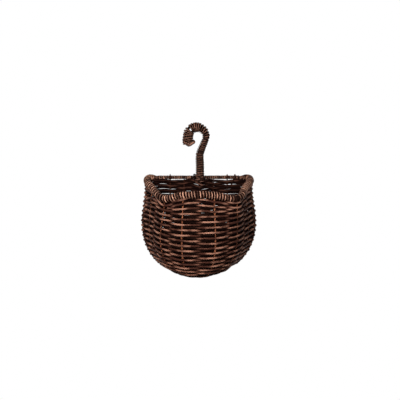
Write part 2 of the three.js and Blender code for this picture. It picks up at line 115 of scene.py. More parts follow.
# The rim and the strips that bind it, each with its width and thickness
HOOP_DIAMETER = 8.6
HOOP_END_DIAMETER = 2.8
HOOP_END_DROP = 1.8
HOOP_TAPER_START = 5
HOOP_TAPER_LENGTH = 15
HOOP_BOUND_RADIUS = 6.8
KNOB_SHARE = 0.72
KNOB_DROP = 2.2
RIM_FRONT_LOOPS = 28
RIM_FRONT_STRIP = (5, 3.2)
RIM_SIDE_LOOPS = 22
RIM_SIDE_STRIP = (7.2, 2.9)
RIM_CROWD = ((0, 0.35, 1), (0, 0.2, 1))
RIM_TONES = (0.65, 0.14)
CORNER_SHADE = 0.16
CORNER_SHADE_LENGTH = 0.8

# The rail at the back, its binding and the tie on its right: points as x, y and the height above the rail
RAIL_DIAMETER = 5.6
RAIL_SAG = 0.7
RAIL_BOUND_RADIUS = 3.1
RAIL_STRIP = (3.4, 1.3)
RAIL_LOOPS = 17
RAIL_TONES = (0.52, 0.1)
RAIL_BINDING_GAP = 8
TIE_DIAMETER = 3.2
TIE_PRESS = 0.2
TIE_RISE = ((67, -4, -16), (70.9, -5, -8))
TIE_OVER_X = (73.5, 75.45)
TIE_FALL = ((77.4, 1, -7), (80, -4, -15))
TIE_TURNS = range(0, 181, 30)

# The hook's stem and the bend above it, which turns from its right side over the top to the tip on its left
HOOK_X = 2.5
HOOK_Y = -11.131
HOOK_ROD_DIAMETER = 10
HOOK_BOUND_RADIUS = 7.737
STEM_HEIGHT = 50
STEM_BINDING_DROP = 6
STEM_LOOPS = 12
STEM_STRIP = (3.2, 1.6)
STEM_TONES = (0.8, 0.05)
STEM_SLACK = 0.12
STEM_TURNS = (-150, -60)
STEM_BOUND = (8.8, 8)
BEND_X = -5.5
BEND_HEIGHT = 86
BEND_RADIUS = 20
BEND_SWEEP = 223
BEND_STEPS = 12
BEND_TURNS = (0, 90, 180, BEND_SWEEP)
BEND_REACH = (20.6, 19.2, 15.7, 22)
BEND_BOUND = (7.2, 10.3, 11.1, 10.4)
BEND_LOOPS = 29
BEND_STRIP = (2.7, 3.4)
BEND_TONES = (0.71, 0.09)
BEND_SLACK = 0.22
BEND_CROWD = ((0, 0.328, 0.493, 0.679, 0.69, 0.873, 1), (0, 0.362, 0.552, 0.704, 0.741, 0.895, 1))
BEND_FLATNESS = ((0, 0.25, 0.42), (0.5, 0.6, 1))
BEND_WIDTH = ((0.3, 0.42, 0.5, 0.55, 0.67, 0.7), (1.1, 1, 1, 1.25, 1.25, 1))

# The two canes inside the hook, which part at the hole on the upper left of the bend
CANE_DIAMETER = 5.6
CANE_OFFSET = 0.22
CANE_SPLIT_SHARE = 0.1
SPINE_JOIN_STEP = 8
HOLE_TURN = 133
HOLE_REACH = 6
INNER_SINK = 1.6

# The loose end of the strip at the hook's tip: points as x, the distance behind the hook and the height
TAIL_DIAMETER = 4.8
TAIL_ROUTE = (
    (-26, 6, 268),
    (-30.3, 0, 266),
    (-29.2, -6, 265),
    (-26.6, -8.5, 263.4),
    (-23.3, -8.5, 260.6),
    (-20.4, -8, 259.2),
    (-16.9, -8, 260.4),
    (-12.7, -7, 263),
    (-9.4, -3, 265),
    (-11, 4, 267),
)

# The lashings where the stem crosses the rail: the outer one's points as x from the stem, y and the height
# above the rail
LASHING_DIAMETER = 2.8
LASHING_TURNS = 2
LASHING_POINTS = 8
LASHING_TILT = 4
LASHING_WIDENING = 0.15
STEM_SIDE = HOOK_BOUND_RADIUS + LASHING_DIAMETER / 2
STEM_FRONT = HOOK_Y - STEM_SIDE
RAIL_REACH = RAIL_BOUND_RADIUS + LASHING_DIAMETER / 2
OUTER_LASHING = (
    (-3, RAIL_REACH, 0),
    (-10.5, 3, 4.5),
    (-12.5, -3, 5),
    (-11, -9, -2),
    (-8.5, HOOK_Y - 5, -8),
    (-3, STEM_FRONT - 0.5, -10.5),
    (4, STEM_FRONT - 0.3, -13),
    (9, HOOK_Y - 3, -15),
    (8.5, -5, -15.5),
    (2, -2, -13),
)

# How fine the meshes and the paths are
STRAND_SIDES = 12
STRIP_SIDES = 10
LOOP_STEPS = 24
SMOOTH_ANGLE = 50
STRAND_STEP = 2.4
STAKE_STEP = 1.6
STAKE_ROW_STEP = 0.25
BAY_STEPS = 16
BOWL_STEPS = 300
CURVE_STEPS = 40
LONG_PATH_STEPS = 600
RAIL_STEPS = 40
RAIL_BINDING_STEPS = 60
SHORT_PATH_STEPS = 60
LASHING_STEPS = 90
ACROSS_STEP = 0.02
DOWN_STEP = 0.3

# Slips of work by hand: the amount and the wavelength of what wanders along a strand or from loop to loop
WAVES = ((0.6, 1.0), (0.45, 0.53), (0.3, 0.27))
DEPTH_WANDER = (0.25, 70)
HEIGHT_WANDER = (0.35, 90)
THICKNESS_WANDER = (0.06, 160)
TONE_WANDER = (0.4, 85)
STRIP_SLACK = 0.1
SLACK_LOOPS = 3.3
SLIP_LOOPS = 2.7
SLIP_SHARE = 1.2

# Wear and painted light of the faces that look out of the wall and into the basket, with the change from
# where a strand lies deep (painted shade) to where it lies proud (painted highlight), and how sharp the worn
# and painted-highlight crests of the wound strips are
SHOWN_WEAR_AND_LIGHT = (0.06, 1)
SHOWN_CHANGE = (-0.4, 0.45)
HIDDEN_WEAR_AND_LIGHT = (0.02, 0.3)
HIDDEN_CHANGE = (-0.7, 0.5)
HIDDEN_CREST = 3
CREST_SHARPNESS = 9
RIM_CREST_SHARPNESS = 6
PLAIN_WEAR_AND_LIGHT = 0.5
MIDDLE_TONE = 0.5
GRAIN_LENGTH = 5000
ROOM_WAY = (0, -0.8, 0.6)

# How the stain, the painted shade and the painted highlight take up these marks: each pair is where a change
# starts and ends
GRAIN_ROUGHNESS = 0.6
STAIN_SHARE = 0.55
TONE_SHARE = 0.45
STREAK_SHARE = 0.7
STREAK_MIDDLE = 0.5
THIN_STAIN = (0.42, 0.66)
OPEN_PORES = (0.5, 0.3)
PAINTED_SHADE = (0.6, 0.05)
PAINTED_SHADE_SHARE = (0, 0.96)
RUBBED_AND_LIT_CREST = (0.35, 1)
RUBBED_AND_LIT_STAIN = (0.4, 0.75)
FIBRE_BURNISH = 0.3
BURNISH = (0.2, 1.1)
BURNISH_ROUGHNESS = (0.85, 0.36)
STREAK_RELIEF = 0.6
FIBRE_RELIEF = 0.4
RELIEF_STRENGTH = 0.35
RELIEF_DEPTH = 0.3

# Camera, floor and light, in metres from the hook's seat
CAMERA_ELEVATION = 12.5
CAMERA_DISTANCE = 1.9
CAMERA_LENS = 85.24
SENSOR_WIDTH = 36
CLIP_START = 0.05
CLIP_END = 50
AIM = Vector((0.0081, -0.056, -0.1321))
LIGHT_SPREAD = 50
LIGHTS = (
    ("key_light", (-0.75, -1.7, 0.8), 0.6, 9.4),
    ("fill_light", (1.3, -1.5, 0.3), 1.2, 3.8),
    ("back_light", (0.1, 1.9, -0.4), 0.8, 4),
)
WHITE = (1, 1, 1, 1)
WORLD_LIGHT = 0.01
FLOOR_SIZE = 12
FLOOR_HEIGHT = -1.6
FLOOR_GREY = (0.5, 0.5, 0.5, 1)
FLOOR_ROUGHNESS = 0.9
FLOOR_FADE = (0.8, 2.1, 0.4, 1)

MM = 0.001
SEED = 7

SEAT_HEIGHT = RAIL_HEIGHT + BEND_HEIGHT + BEND_RADIUS - HOOK_BOUND_RADIUS
ORIGIN = np.array([BEND_X, HOOK_Y, SEAT_HEIGHT])
ROW_COUNT = LOWER_ROWS + UPPER_ROWS
ROW_TOP = RAIL_HEIGHT - RAIL_BOUND_RADIUS - CLEARANCE - STRAND_DIAMETER / 2 - BACK_GAP
BASE_LEVEL = BELLY_HEIGHT * (1 - math.sqrt(1 - BASE_SHARE**2))


def lerp(low, high, share):
    return low + (high - low) * share


def smoothstep(value, low, high):
    share = np.clip((value - low) / (high - low), 0, 1)
    return share * share * (3 - 2 * share)


def placed(points):
    """Points of the basket, from its own millimetres to metres from the hook's seat."""
    return (np.asarray(points, float) - ORIGIN) * MM


def wander(seed, along, amount, wavelength):
    """A smooth random line, mostly between plus and minus an amount, read at the lengths along a strand."""
    rng = random.Random(f"{SEED} {seed}")
    along = np.asarray(along, float)
    line = np.zeros_like(along)
    for strength, stretch in WAVES:
        line += strength * np.sin(2 * np.pi * (along / (wavelength * stretch) + rng.random()))
    return amount * line


# Paths
def lengths_along(points):
    steps = np.linalg.norm(np.diff(points, axis=0), axis=1)
    return np.concatenate([[0], np.cumsum(steps)])


def points_at(path, marks, wanted):
    """Points of a path, read where the marks along it reach the wanted values."""
    return np.column_stack([np.interp(wanted, marks, path[:, axis]) for axis in range(3)])


def even_points(spots, steps):
    lengths = lengths_along(spots)
    return points_at(spots, lengths, np.linspace(0, lengths[-1], steps))


def part_of(path, start, end):
    """The stretch of an even path between two shares of its length."""
    last = len(path) - 1
    wanted = np.linspace(start * last, end * last, max(int((end - start) * last), 2))
    return points_at(path, np.arange(len(path)), wanted)


def slope_at(before, here, after, gap_before, gap_after):
    """The way that a smooth curve takes through the middle one of three points."""
    arriving = (here - before) / gap_before
    leaving = (after - here) / gap_after
    return arriving - (after - before) / (gap_before + gap_after) + leaving


def smooth_path(points, steps):
    """Even points along a smooth curve through a few points, tightened where they lie close together."""
    points = np.asarray(points, float)
    padded = np.vstack([2 * points[0] - points[1], points, 2 * points[-1] - points[-2]])
    spots = []
    for number in range(1, len(padded) - 2):
        before, start, end, after = padded[number - 1 : number + 3]
        spans = ((before, start), (start, end), (end, after))
        gap_before, gap, gap_after = (np.linalg.norm(far - near) ** 0.5 for near, far in spans)
        leave = slope_at(before, start, end, gap_before, gap) * gap
        arrive = slope_at(start, end, after, gap, gap_after) * gap
        bend = -3 * start + 3 * end - 2 * leave - arrive
        sharpen = 2 * start - 2 * end + leave + arrive
        for share in np.linspace(0, 1, CURVE_STEPS, endpoint=False):
            spots.append(start + share * (leave + share * (bend + share * sharpen)))
    spots.append(points[-1])
    return even_points(np.array(spots), steps)


def round_rail(x, reach, degrees):
    """A point round the rail, turned from straight in front of it over the top."""
    turn = math.radians(degrees)
    return (x, -reach * math.cos(turn), RAIL_HEIGHT + reach * math.sin(turn))


# How many rows fit on a stake above the level ones, and which of them go all the way round
BACK_SLOTS = (9, (1, 2, 5, 6, 9))
SIDE_SLOTS = (7, (1, 2, 5, 6, 7))
CORNER_SLOTS = (5, (1, 2, 3, 4, 5))

# What is known of a stake: its places on the belly and on the rim, how far the rim drops there, how full the
# bowl's curve is, how far the strands swing in and out at it and how thick these are, and its upper rows
STAKE_KEYS = ("name", "belly", "rim", "drop", "fullness", "press", "thickness", "slots")
FRONT_STAKE_DROP = lerp(FRONT_DROP, CORNER_DROP, FRONT_STAKE_SHARE)

# The stakes of one half, with their places as shares of the width and the depth
HALF_STAKES = (
    ("front", (0.285, 0.985), (0.28, 0.97), FRONT_STAKE_DROP, 0.7, 0.8, 0.94, SIDE_SLOTS),
    ("front_corner", (0.66, 0.71), (0.65, 0.86), CORNER_DROP, 0.67, 0.7, 0.96, CORNER_SLOTS),
    ("side", (0.875, 0.315), (0.86, 0.45), SIDE_DROP, 0.62, 0.6, 1.02, SIDE_SLOTS),
    ("back_corner", (1, 0.07), (0.975, 0.12), BACK_CORNER_DROP, 0.63, 0.22, 1.08, BACK_SLOTS),
    ("back_outer", (0.527, 0), (0.54, 0), 0, 0.6, 0.6, 1.17, BACK_SLOTS),
    ("back_inner", (0.268, 0), (0.275, 0), 0, 0.6, 0.42, 1.17, BACK_SLOTS),
)

# The hook's spine in the middle of the back, with its places in millimetres
SPINE_VALUES = ("spine", (HOOK_X, -BACK_INSET), (HOOK_X, HOOK_Y), 0, 0.6, 0.3, 1.17, BACK_SLOTS)
SPINE = dict(zip(STAKE_KEYS, SPINE_VALUES))


def stake_of(values, sign, word):
    """A stake of the left or the right half, with its places in millimetres."""
    stake = dict(zip(STAKE_KEYS, values))
    belly_x, belly_y = stake["belly"]
    rim_x, rim_y = stake["rim"]
    rim_shift = FRONT_CORNER_SHIFT if stake["name"] == "front_corner" else 0
    stake["name"] += f"_{word}"
    stake["belly"] = (sign * belly_x * BELLY_HALF_WIDTH, -max(belly_y * BELLY_DEPTH, BACK_INSET))
    stake["rim"] = (sign * rim_x * RIM_HALF_WIDTH + rim_shift, -rim_y * RIM_DEPTH)
    return stake


def all_stakes():
    """The stakes anticlockwise from above, from the spine."""
    left = [stake_of(values, -1, "left") for values in reversed(HALF_STAKES)]
    right = [stake_of(values, 1, "right") for values in HALF_STAKES]
    return [SPINE, *left, *right]


STAKES = all_stakes()
STAKE_COUNT = len(STAKES)


def stake_top(stake):
    """The height at which a stake goes into the binding of the rim or the rail."""
    bound = HOOP_BOUND_RADIUS if stake["drop"] > 0 else RAIL_BOUND_RADIUS
    return RAIL_HEIGHT - stake["drop"] - bound - 2 * CLEARANCE


def row_top(stake):
    gap = -RIM_OVERLAP if stake["drop"] > 0 else BACK_GAP
    return stake_top(stake) - STRAND_DIAMETER / 2 - gap


def stake_point(stake, height):
    """The point of a stake at a height: out round the bowl, then up the wall with a lean to the rim."""
    squeeze = (row_top(stake) - LEVEL_HEIGHT) / (ROW_TOP - LEVEL_HEIGHT)
    level = height
    if height > LEVEL_HEIGHT:
        level = LEVEL_HEIGHT + (height - LEVEL_HEIGHT) / squeeze
    turn = math.acos(max(1 - level / BELLY_HEIGHT, 0))
    spread = math.sin(turn) ** stake["fullness"]
    lean = smoothstep(level, BELLY_HEIGHT, ROW_TOP)
    x = lerp(lerp(BOTTOM_X, stake["belly"][0], spread), stake["rim"][0], lean)
    y = lerp(lerp(-BOTTOM_DEPTH, stake["belly"][1], spread), stake["rim"][1], lean)
    return np.array([x, y, height])


def level_heights():
    """The heights of the level rows, evenly spaced along the curve of the bowl's front."""
    heights = np.linspace(BASE_LEVEL, LEVEL_TOP, BOWL_STEPS)
    rise = 1 - np.minimum(heights / BELLY_HEIGHT, 1)
    out = (BELLY_DEPTH - BOTTOM_DEPTH) * np.sqrt(1 - rise**2)
    lengths = lengths_along(np.column_stack([heights, out]))
    rows = (np.arange(LOWER_ROWS) + 0.5) / LOWER_ROWS
    return np.interp(rows * lengths[-1], lengths, heights)


LEVEL_HEIGHTS = level_heights()


def all_row_heights(stake):
    """The heights of the rows on a stake: the level ones, then those that follow the rim."""
    slots, used = stake["slots"]
    shares = [(slot - 0.5) / (slots - 0.5) for slot in used]
    return np.concatenate([LEVEL_HEIGHTS, [lerp(LEVEL_TOP, row_top(stake), share) for share in shares]])


for each_stake in STAKES:
    each_stake["heights"] = all_row_heights(each_stake)


def base_point(stake, share):
    """The point of a stake under the base, from the crossing in the middle to the edge of the base."""
    crossing = np.array([BOTTOM_X, -BOTTOM_DEPTH, 0.0])
    spot = lerp(crossing, stake_point(stake, LEVEL_HEIGHTS[0]), share)
    spot[2] = LEVEL_HEIGHTS[0] * share**2
    return spot


def row_point(stake, row):
    """The point of a stake at a row; rows below the first lie under the base."""
    if row < 0:
        return base_point(stake, lerp(1, BASE_START, -row / BASE_TURNS))
    return stake_point(stake, float(np.interp(row, range(ROW_COUNT), stake["heights"])))


def wall_point(count, row):
    """The middle of the wall past a number of stakes, on the smooth curve through the nearest four."""
    first = math.floor(count)
    nearest = [STAKES[(first + step) % STAKE_COUNT] for step in (-1, 0, 1, 2)]
    before, here, ahead, after = (row_point(stake, row) for stake in nearest)
    share = count - first
    bend = 2 * before - 5 * here + 4 * ahead - after
    sharpen = 3 * here - before - 3 * ahead + after
    spot = here + 0.5 * share * (ahead - before + share * (bend + share * sharpen))
    arch = BAY_ARCH.get(STAKES[first % STAKE_COUNT]["name"], 0)
    spot[2] += arch * 4 * share * (1 - share) * smoothstep(row, LOWER_ROWS - 1, ROW_COUNT - 1)
    return spot


def wall_frame(count, row):
    """The middle of the wall with the way out of the basket and the way up the wall."""
    spot = wall_point(count, row)
    ahead = wall_point(count + ACROSS_STEP, row) - wall_point(count - ACROSS_STEP, row)
    up = spot - wall_point(count, row - DOWN_STEP)
    up /= np.linalg.norm(up)
    out = np.cross(ahead, up)
    return spot, out / np.linalg.norm(out), up


def spiral_row(count):
    """The row of a strand past a number of stakes: level, with a step up to the next past a back corner."""
    rounds, past = divmod(count - STEP_PLACE, STAKE_COUNT)
    return rounds + float(smoothstep(past, 0, STEP_LENGTH))


def at_places(key, counts):
    """A value of the stakes, read between them."""
    values = [stake[key] for stake in STAKES]
    return np.interp(np.mod(counts, STAKE_COUNT), np.arange(STAKE_COUNT + 1), [*values, values[0]])


def stake_radius(stake, height):
    if stake["name"] != "spine":
        return STAKE_DIAMETER / 2
    thickening = smoothstep(height, ROW_TOP - SPINE_TAPER, RAIL_HEIGHT)
    return lerp(SPINE_DIAMETER, HOOK_ROD_DIAMETER, thickening) / 2


def woven_path(seed, first, last, size, row_at, parity=0, tuck=0):
    """The middle of a strand that passes outside and inside the stakes by turns, from one count of stakes
    to another, with its thickness, the way out of the basket and how far out it lies at each point."""
    rough = np.linspace(first, last, int(abs(last - first) * BAY_STEPS) + 2)
    lengths = lengths_along(np.array([wall_point(count, row_at(count)) for count in rough]))
    along = np.linspace(0, lengths[-1], int(lengths[-1] / STRAND_STEP) + 1)
    counts = np.interp(along, lengths, rough)
    frames = [wall_frame(count, row_at(count)) for count in counts]
    wall, out, up = (np.array(part) for part in zip(*frames))
    side = np.cos(np.pi * (counts + parity))
    low = 1 - smoothstep(wall[:, 2], LEVEL_HEIGHT, BELLY_HEIGHT)
    diameter = size * STRAND_DIAMETER * (at_places("thickness", counts) + LOW_THICKENING * low)
    stakes = [STAKES[round(count) % STAKE_COUNT] for count in counts]
    radii = np.array([stake_radius(stake, spot[2]) for stake, spot in zip(stakes, wall)])
    press = at_places("press", counts) * smoothstep(wall[:, 2], -LEVEL_TOP / 2, LEVEL_TOP)
    depth = press * (radii + diameter / 2) * side + wander(f"{seed} depth", along, *DEPTH_WANDER)
    near_end = np.minimum(counts - first, last - counts)
    depth -= tuck * (1 - smoothstep(near_end, 0, TUCK_LENGTH))
    height = wander(f"{seed} height", along, *HEIGHT_WANDER)
    return wall + out * depth[:, None] + up * height[:, None], diameter, out, side


# Modelling helpers
def deselect_all():
    bpy.ops.object.select_all(action="DESELECT")


def curve_through(name, points):
    """A curve object through points in metres, alone in the selection."""
    deselect_all()
    bpy.ops.curve.primitive_nurbs_path_add()
    path = bpy.context.object
    path.name = name
    path.data.splines.clear()
    spline = path.data.splines.new("POLY")
    spline.points.add(len(points) - 1)
    spline.points.foreach_set("co", np.column_stack([points, np.ones(len(points))]).ravel())
    return path


def close_ends(sides):
    """Closes the two open ends of the active tube and turns its faces outwards."""
    bpy.ops.object.mode_set(mode="EDIT")
    bpy.ops.mesh.select_all(action="SELECT")
    bpy.ops.mesh.fill_holes(sides=sides)
    bpy.ops.mesh.normals_make_consistent(inside=False)
    bpy.ops.object.mode_set(mode="OBJECT")
    bpy.ops.object.shade_smooth_by_angle(angle=math.radians(SMOOTH_ANGLE))


def ring_points(obj, sides):
    """The corners of a tube as rings in order along it."""
    corners = np.empty(len(obj.data.vertices) * 3)
    obj.data.vertices.foreach_get("co", corners)
    return corners.reshape(-1, sides, 3)


def write_marks(obj, along, size, tone, wear_and_light):
    """Writes what the finishes read at each point: the place in the grain, the stain, and the wear together
    with its painted light and shade.
    """
    sides = wear_and_light.shape[1]
    angles = 2 * np.pi * np.arange(sides) / sides
    places = (along[:, None], size * np.cos(angles), size * np.sin(angles))
    grain = np.stack(np.broadcast_arrays(*places), axis=-1)
    attributes = obj.data.attributes
    attributes.new("grain", "FLOAT_VECTOR", "POINT").data.foreach_set("vector", grain.ravel())
    attributes.new("tone", "FLOAT", "POINT").data.foreach_set("value", np.repeat(tone, sides))
    attributes.new("wear_and_light", "FLOAT", "POINT").data.foreach_set("value", wear_and_light.ravel())


def round_strand(name, points, diameter, out=None, side=None):
    """One round strand of cane along points in millimetres, with small changes of thickness and cut ends."""
    points = np.asarray(points, float)
    along = lengths_along(points)
    radius = diameter / 2 * (1 + wander(f"{name} thickness", along, *THICKNESS_WANDER))
    path = curve_through(name, placed(points))
    path.data.splines[0].points.foreach_set("radius", radius * MM)
    path.data.bevel_depth = 1
    path.data.bevel_resolution = STRAND_SIDES // 2 - 2
    bpy.ops.object.convert(target="MESH")
    strand = bpy.context.object
    rings = ring_points(strand, STRAND_SIDES)
    # The wear mark is wear and painted light together: high on faces that look out where the strand lies
    # proud, a painted highlight; low where it lies deep behind a stake, painted shade; a narrow painted
    # highlight on faces that look into the basket.
    wear_and_light = np.full(rings.shape[:2], PLAIN_WEAR_AND_LIGHT)
    if out is not None:
        spokes = rings - rings.mean(axis=1, keepdims=True)
        outward = np.einsum("rsk,rk->rs", spokes, out) / (radius * MM)[:, None]
        shown = lerp(*SHOWN_WEAR_AND_LIGHT, smoothstep(side, *SHOWN_CHANGE))
        hidden = lerp(*HIDDEN_WEAR_AND_LIGHT, smoothstep(-side, *HIDDEN_CHANGE))
        wear_and_light = np.clip(outward, 0, 1) * shown[:, None]
        wear_and_light += np.clip(-outward, 0, 1) ** HIDDEN_CREST * hidden[:, None]
    start = random.Random(f"{SEED} {name}").uniform(0, GRAIN_LENGTH)
    tone = MIDDLE_TONE + wander(f"{name} tone", along, *TONE_WANDER)
    write_marks(strand, along + start, float(np.mean(diameter)) / 2, tone, wear_and_light)
    close_ends(STRAND_SIDES)
    return strand


def worn_and_lit_strand(name, points, diameter):
    """A round strand with wear and a painted highlight on the side that faces the room."""
    out = np.tile(ROOM_WAY, (len(points), 1))
    return round_strand(name, points, diameter, out, np.ones(len(points)))


def straight_coil(name, loops, length, strip, middle, hand):
    """One oval section turned with the screw into a straight coil along X."""
    width, thickness = strip
    deselect_all()
    bpy.ops.mesh.primitive_circle_add(
        vertices=STRIP_SIDES,
        radius=width / 2 * MM,
        location=(0, 0, middle * MM),
        rotation=(math.pi / 2, 0, 0),
    )
    coil = bpy.context.object
    coil.name = name
    coil.scale = (1, thickness / width, 1)
    bpy.ops.object.transform_apply(location=True, rotation=True, scale=True)
    bpy.ops.object.modifier_add(type="SCREW")
    screw = coil.modifiers[-1]
    screw.axis = "X"
    screw.angle = hand * 2 * math.pi
    screw.steps = LOOP_STEPS
    screw.render_steps = LOOP_STEPS
    screw.iterations = loops
    screw.screw_offset = length / loops * MM
    bpy.ops.object.modifier_apply(modifier=screw.name)
    return coil


def bend_along(coil, path_points):
    """Bends a straight coil along a path and leaves no other object behind."""
    path = curve_through(f"{coil.name}_path", placed(path_points))
    deselect_all()
    coil.select_set(True)
    bpy.context.view_layer.objects.active = coil
    bpy.ops.object.modifier_add(type="CURVE")
    bend = coil.modifiers[-1]
    bend.object = path
    bend.deform_axis = "POS_X"
    bpy.ops.object.modifier_apply(modifier=bend.name)
    bpy.data.objects.remove(path)


def wound_strip(
    name,
    path_points,
    loops,
    bound,
    strip,
    tones,
    crest=CREST_SHARPNESS,
    loose=STRIP_SLACK,
    crowd=None,
    flat=None,
    widen=None,
    hand=1,
    shade=None,
):
    """A strip of cane wound round a rod: a straight coil with the small slips of work by hand, bent along
    the rod. What changes along it is given as functions of the share of its length: the outer radius, and
    where wanted the places of the loops, their flatness and width, and how much darker they are."""
    width, thickness = strip
    path_points = np.asarray(path_points, float)
    length = lengths_along(path_points)[-1]
    middle = bound(0.5) - thickness / 2
    coil = straight_coil(name, loops, length, strip, middle, hand)

    rings = ring_points(coil, STRIP_SIDES)
    turns = np.arange(len(rings)) / LOOP_STEPS
    shares = turns / loops

    def read(change):
        return np.array([change(share) for share in shares])

    radial = np.hypot(rings[..., 1], rings[..., 2])
    outward = (radial - middle * MM) / (thickness / 2 * MM)
    flatness = read(flat) if flat else np.ones(len(shares))
    target = read(bound) - flatness * thickness / 2
    target += wander(f"{name} slack", turns, loose, SLACK_LOOPS)
    lifted = target[:, None] * MM + outward * (flatness * thickness / 2)[:, None] * MM
    rings[..., 1:] *= (lifted / radial)[..., None]
    if widen:
        middles = rings[..., 0].mean(axis=1, keepdims=True)
        rings[..., 0] = middles + (rings[..., 0] - middles) * read(widen)[:, None]
    moved = wander(f"{name} slip", turns, loose * SLIP_SHARE, SLIP_LOOPS)
    if crowd:
        moved += (read(crowd) - shares) * length
    rings[..., 0] += (moved * MM)[:, None]
    coil.data.vertices.foreach_set("co", rings.ravel())

    rng = random.Random(f"{SEED} {name}")
    loop_tones = np.array([rng.gauss(*tones) for _ in range(loops + 2)])
    tone = np.interp(turns + 0.5, np.arange(loops + 2), loop_tones)
    if shade:
        tone -= read(shade)
    along = turns * 2 * np.pi * middle + rng.uniform(0, GRAIN_LENGTH)
    # The wear mark of a strip is a sharp crest on its outer face: a painted highlight, partly real wear,
    # with painted shade at the edges between the loops.
    write_marks(coil, along, width / 2, tone, np.clip(outward, 0, 1) ** crest)
    close_ends(STRIP_SIDES)
    bend_along(coil, path_points)
    return coil


# Finishes
GRAIN_PLUGS = ("Streaks", "Stain", "Fibres")


def add_sockets(group, direction, kind, *names):
    for name in names:
        group.interface.new_socket(name, in_out=direction, socket_type=kind)


def add_node(tree, kind, **settings):
    node = tree.nodes.new(kind)
    for setting, value in settings.items():
        setattr(node, setting, value)
    return node


def cane_grain_group():
    """Fibre streaks that run along the cane, with slow changes of stain and fine pores."""
    group = bpy.data.node_groups.new("cane_grain", "ShaderNodeTree")
    add_sockets(group, "INPUT", "NodeSocketVector", "Place")
    add_sockets(group, "OUTPUT", "NodeSocketFloat", *GRAIN_PLUGS)
    links = group.links
    inside = add_node(group, "NodeGroupInput")
    outside = add_node(group, "NodeGroupOutput")

    def add_noise(name, stretch, scale, detail):
        scaled = add_node(group, "ShaderNodeVectorMath", operation="MULTIPLY")
        scaled.inputs[1].default_value = stretch
        links.new(inside.outputs["Place"], scaled.inputs[0])
        noise = add_node(group, "ShaderNodeTexNoise")
        noise.inputs["Scale"].default_value = scale
        noise.inputs["Detail"].default_value = detail
        noise.inputs["Roughness"].default_value = GRAIN_ROUGHNESS
        links.new(scaled.outputs[0], noise.inputs["Vector"])
        links.new(noise.outputs["Fac"], outside.inputs[name])

    add_noise("Streaks", stretch=(0.02, 1, 1), scale=1.1, detail=3)
    add_noise("Stain", stretch=(1, 0.6, 0.6), scale=0.05, detail=3)
    add_noise("Fibres", stretch=(0.06, 1, 1), scale=4.5, detail=2)
    return group


def stained_cane_group():
    """The colour of stained cane: deep in the pores, warm where the stain is thin, tan where it is worn and
    lit as a painted highlight on the crests, and deep as painted shade where the wear mark is low, in
    recesses and undersides.
    """
    group = bpy.data.node_groups.new("stained_cane", "ShaderNodeTree")
    add_sockets(group, "INPUT", "NodeSocketColor", "Pore and Shade", "Stained", "Thin", "Worn and Highlight")
    add_sockets(group, "INPUT", "NodeSocketFloat", *GRAIN_PLUGS, "Tone", "Wear", "Wear Amount")
    add_sockets(group, "OUTPUT", "NodeSocketColor", "Color")
    add_sockets(group, "OUTPUT", "NodeSocketFloat", "Roughness", "Height")
    links = group.links
    plugs = add_node(group, "NodeGroupInput").outputs
    outside = add_node(group, "NodeGroupOutput")

    def ranged(value, change, result=(0, 1)):
        node = add_node(group, "ShaderNodeMapRange", interpolation_type="SMOOTHSTEP")
        links.new(value, node.inputs["Value"])
        for plug, limit in zip(("From Min", "From Max", "To Min", "To Max"), (*change, *result)):
            node.inputs[plug].default_value = limit
        return node.outputs["Result"]

    def mathed(operation, first, second):
        node = add_node(group, "ShaderNodeMath", operation=operation)
        for value, plug in ((first, node.inputs[0]), (second, node.inputs[1])):
            if isinstance(value, (int, float)):
                plug.default_value = value
            else:
                links.new(value, plug)
        return node.outputs[0]

    def weighted(first, first_share, second, second_share):
        weighed = mathed("MULTIPLY", first, first_share)
        return mathed("ADD", weighed, mathed("MULTIPLY", second, second_share))

    def mixed(share, first, second):
        node = add_node(group, "ShaderNodeMix", data_type="RGBA")
        links.new(share, node.inputs["Factor"])
        links.new(first, node.inputs["A"])
        links.new(second, node.inputs["B"])
        return node.outputs["Result"]

    spread = weighted(plugs["Stain"], STAIN_SHARE, plugs["Tone"], TONE_SHARE)
    streaks = mathed("MULTIPLY", mathed("SUBTRACT", plugs["Streaks"], STREAK_MIDDLE), STREAK_SHARE)
    thinness = mathed("ADD", spread, streaks)
    colour = mixed(ranged(thinness, THIN_STAIN), plugs["Stained"], plugs["Thin"])
    colour = mixed(ranged(plugs["Fibres"], OPEN_PORES), colour, plugs["Pore and Shade"])
    # Painted shade: the colour goes to the deep colour where the wear mark is low, on undersides and where a
    # strand lies deep.
    colour = mixed(ranged(plugs["Wear"], PAINTED_SHADE, PAINTED_SHADE_SHARE), colour, plugs["Pore and Shade"])
    # Painted highlight, partly real wear: the worn colour on the crests where the wear mark is high.
    rubbed_and_lit = mathed("MULTIPLY", ranged(plugs["Wear"], RUBBED_AND_LIT_CREST), ranged(thinness, RUBBED_AND_LIT_STAIN))
    rubbed_and_lit = mathed("MULTIPLY", rubbed_and_lit, plugs["Wear Amount"])
    links.new(mixed(rubbed_and_lit, colour, plugs["Worn and Highlight"]), outside.inputs["Color"])
    burnish = mathed("ADD", plugs["Wear"], mathed("MULTIPLY", plugs["Fibres"], FIBRE_BURNISH))
    links.new(ranged(burnish, BURNISH, BURNISH_ROUGHNESS), outside.inputs["Roughness"])
    relief = weighted(plugs["Streaks"], STREAK_RELIEF, plugs["Fibres"], FIBRE_RELIEF)
    links.new(relief, outside.inputs["Height"])
    return group


CANE_GRAIN = cane_grain_group()
STAINED_CANE = stained_cane_group()


